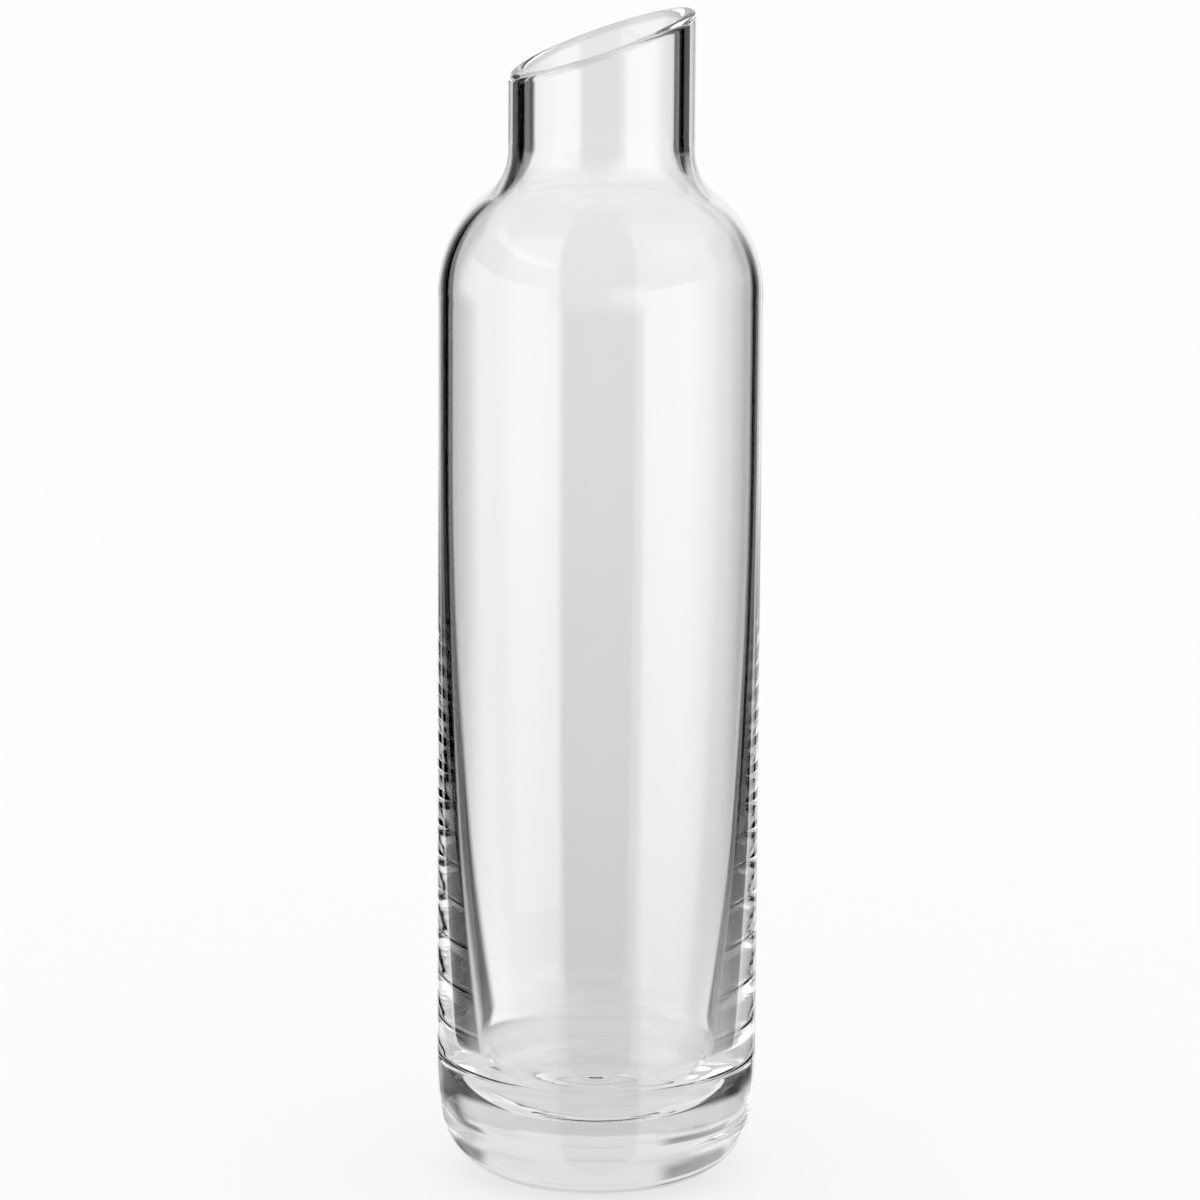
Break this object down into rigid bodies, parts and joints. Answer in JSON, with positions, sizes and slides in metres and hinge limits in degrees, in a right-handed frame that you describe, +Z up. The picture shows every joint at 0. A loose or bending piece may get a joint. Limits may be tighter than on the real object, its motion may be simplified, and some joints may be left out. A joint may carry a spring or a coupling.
{
  "type": "water carafe",
  "caption": "Tall round clear-glass water carafe with a thick base, straight body, rounded shoulder and short neck cut at a slant to form a pouring lip.",
  "frame": {"origin": "centre of the foot, on the plane that the carafe stands on", "axes": "+Z up along the body's axis, +X towards the high side of the slanted mouth, which is the pouring lip"},
  "size_m": [0.083, 0.083, 0.3057],
  "materials": {
    "clear_glass": "clear, smooth and fire-polished"
  },
  "bodies": {
    "root": {"carafe_glass": "clear_glass"}
  },
  "joints": []
}
